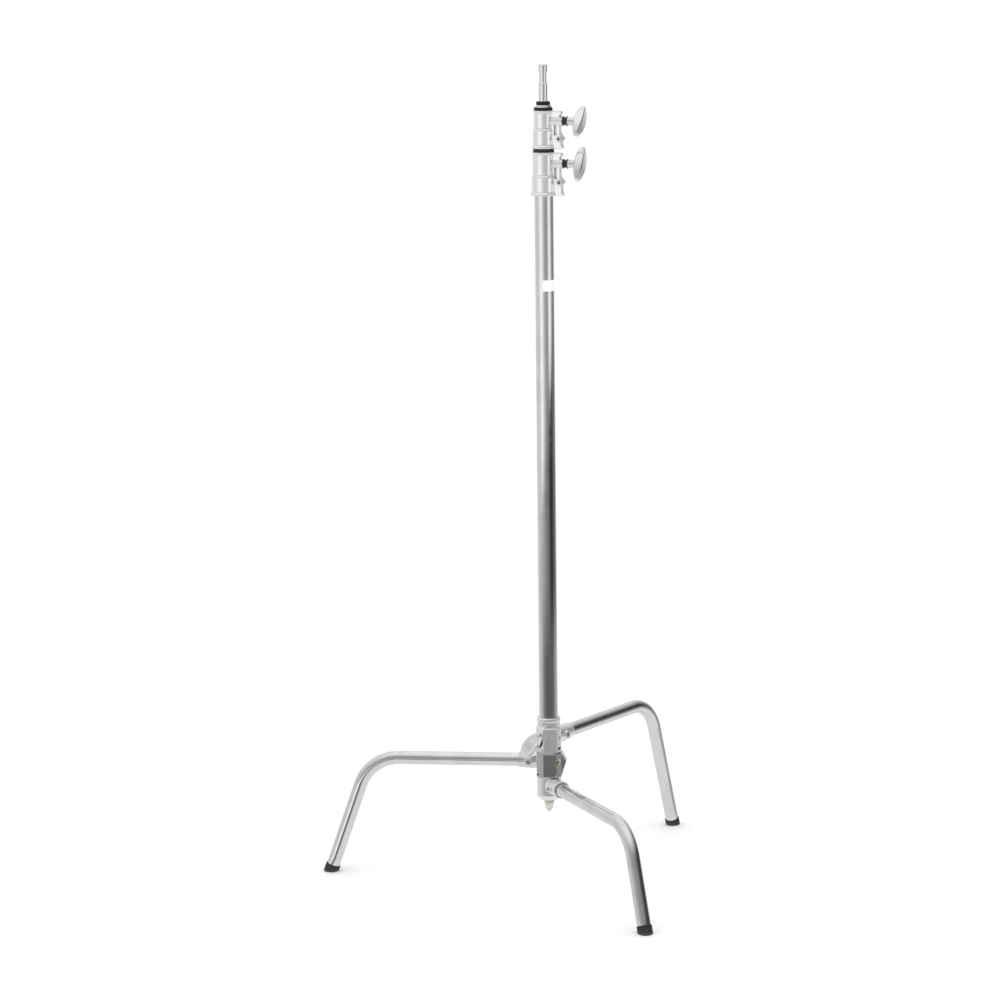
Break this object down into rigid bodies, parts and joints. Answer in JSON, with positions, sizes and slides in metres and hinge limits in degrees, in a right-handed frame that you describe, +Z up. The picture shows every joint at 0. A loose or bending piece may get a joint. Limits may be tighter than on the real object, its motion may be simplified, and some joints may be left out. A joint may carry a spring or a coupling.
{
  "type": "c stand",
  "caption": "Chromed lighting stand with a folding three-leg base, a removable column, two telescopic risers with T-handle clamps, and an undercut pin on top.",
  "frame": {"origin": "on the floor, at the middle of the box round the three feet; the column's axis stands at x 103.75 mm, y -6.93 mm", "axes": "+Z up along the column; the middle leg points along -X at rest, and the clamp handles point roughly along +X"},
  "size_m": [0.6624, 0.7536, 1.535],
  "materials": {
    "chromed_tube": "mirror chrome plate on drawn steel tube",
    "chromed_casting": "chrome plate on a cast body, slightly soft and uneven",
    "polished_casting": "chrome plate on a ground and polished cast body",
    "polished_aluminium": "polished cast handle with a fine satin face",
    "bright_steel": "turned steel, lightly plated",
    "blackened_steel": "black oxide on steel, oiled",
    "yellow_zinc": "pale yellow zinc plate",
    "brass": "dull turned brass",
    "black_rubber": "matt moulded rubber",
    "black_plastic": "matt moulded plastic",
    "pale_nylon": "natural nylon",
    "blank_label": "plain white self-adhesive film"
  },
  "bodies": {
    "base": {"base_casting": "chromed_casting", "sleeve_pin": "blackened_steel", "centre_sleeve": "bright_steel", "sleeve_plug": "bright_steel", "centre_stud": "bright_steel", "disc_spring": "bright_steel", "hub_nut": "yellow_zinc", "upper_thrust_washer": "pale_nylon", "tall_leg": "chromed_tube", "tall_leg_rivet": "bright_steel", "tall_foot": "black_rubber"},
    "middle_leg_set": {"middle_hub": "polished_casting", "middle_leg": "chromed_tube", "middle_leg_rivet": "bright_steel", "middle_foot": "black_rubber", "middle_stop_screw": "brass", "middle_detent_ball": "bright_steel", "middle_detent_spring": "bright_steel", "middle_detent_screw": "bright_steel", "lower_thrust_washer": "pale_nylon"},
    "low_leg_set": {"low_hub": "chromed_casting", "low_leg": "chromed_tube", "low_leg_rivet": "bright_steel", "low_foot": "black_rubber", "low_stop_screw": "bright_steel", "low_detent_ball": "bright_steel", "low_detent_spring": "bright_steel", "low_detent_screw": "bright_steel"},
    "spigot": {"column_spigot": "bright_steel"},
    "column": {"column_tube": "chromed_tube", "column_label": "blank_label", "lower_clamp": "chromed_casting", "lower_clamp_screw": "bright_steel", "lower_clamp_nut": "bright_steel", "lower_bumper": "black_plastic"},
    "middle_bush": {"middle_riser_bush": "pale_nylon"},
    "middle_riser": {"middle_riser_tube": "chromed_tube", "upper_clamp": "chromed_casting", "upper_clamp_screw": "bright_steel", "upper_clamp_nut": "bright_steel"},
    "top_bush": {"top_riser_bush": "pale_nylon"},
    "top_riser": {"top_riser_tube": "chromed_tube", "top_bumper": "black_rubber", "top_cone": "chromed_tube", "top_gasket": "black_rubber", "baby_pin": "chromed_tube"},
    "base_pad_set": {"base_pad": "brass"},
    "base_handle_set": {"base_handle": "polished_aluminium", "base_handle_collar": "black_plastic"},
    "lower_pad_set": {"lower_pad": "brass"},
    "lower_handle_set": {"lower_handle": "polished_aluminium", "lower_handle_collar": "black_plastic"},
    "upper_pad_set": {"upper_pad": "brass"},
    "upper_handle_set": {"upper_handle": "polished_aluminium", "upper_handle_collar": "black_plastic"}
  },
  "joints": [
    {"name": "column_lift", "type": "slide", "parent": "base", "child": "spigot", "axis": [0, 0, 1], "range_m": [0, 0.125]},
    {"name": "column_turn", "type": "hinge", "parent": "spigot", "child": "column", "pos_m": [0.10375, -0.00693, 0.3105], "axis": [0, 0, 1], "continuous": true},
    {"name": "middle_riser_slide", "type": "slide", "parent": "column", "child": "middle_bush", "axis": [0, 0, 1], "range_m": [0, 0.9]},
    {"name": "middle_riser_turn", "type": "hinge", "parent": "middle_bush", "child": "middle_riser", "pos_m": [0.10375, -0.00693, 0.396], "axis": [0, 0, 1], "continuous": true},
    {"name": "top_riser_slide", "type": "slide", "parent": "middle_riser", "child": "top_bush", "axis": [0, 0, 1], "range_m": [0, 0.9]},
    {"name": "top_riser_turn", "type": "hinge", "parent": "top_bush", "child": "top_riser", "pos_m": [0.10375, -0.00693, 0.474], "axis": [0, 0, 1], "continuous": true},
    {"name": "middle_leg_fold", "type": "hinge", "parent": "base", "child": "middle_leg_set", "pos_m": [0.10375, -0.00693, 0.226], "axis": [0, 0, 1], "range_deg": [-114, 0]},
    {"name": "low_leg_fold", "type": "hinge", "parent": "base", "child": "low_leg_set", "pos_m": [0.10375, -0.00693, 0.18], "axis": [0, 0, 1], "range_deg": [0, 114]},
    {"name": "base_pad_travel", "type": "slide", "parent": "base", "child": "base_pad_set", "axis": [-0.6157, -0.788, 0], "range_m": [0, 0.003]},
    {"name": "base_handle_turn", "type": "hinge", "parent": "base_pad_set", "child": "base_handle_set", "pos_m": [0.07297, -0.04633, 0.264], "axis": [-0.6157, -0.788, 0], "range_deg": [0, 720]},
    {"name": "lower_pad_travel", "type": "slide", "parent": "column", "child": "lower_pad_set", "axis": [0.9744, -0.225, 0], "range_m": [0, 0.003]},
    {"name": "lower_handle_turn", "type": "hinge", "parent": "lower_pad_set", "child": "lower_handle_set", "pos_m": [0.15247, -0.01818, 1.3545], "axis": [0.9744, -0.225, 0], "range_deg": [0, 720]},
    {"name": "upper_pad_travel", "type": "slide", "parent": "middle_riser", "child": "upper_pad_set", "axis": [0.9744, -0.225, 0], "range_m": [0, 0.003]},
    {"name": "upper_handle_turn", "type": "hinge", "parent": "upper_pad_set", "child": "upper_handle_set", "pos_m": [0.15247, -0.01818, 1.4323], "axis": [0.9744, -0.225, 0], "range_deg": [0, 720]}
  ],
  "couplings": [
    {"joint": "base_pad_travel", "follows": "base_handle_turn", "m_per_rad": 0.00023873},
    {"joint": "lower_pad_travel", "follows": "lower_handle_turn", "m_per_rad": 0.00023873},
    {"joint": "upper_pad_travel", "follows": "upper_handle_turn", "m_per_rad": 0.00023873}
  ]
}
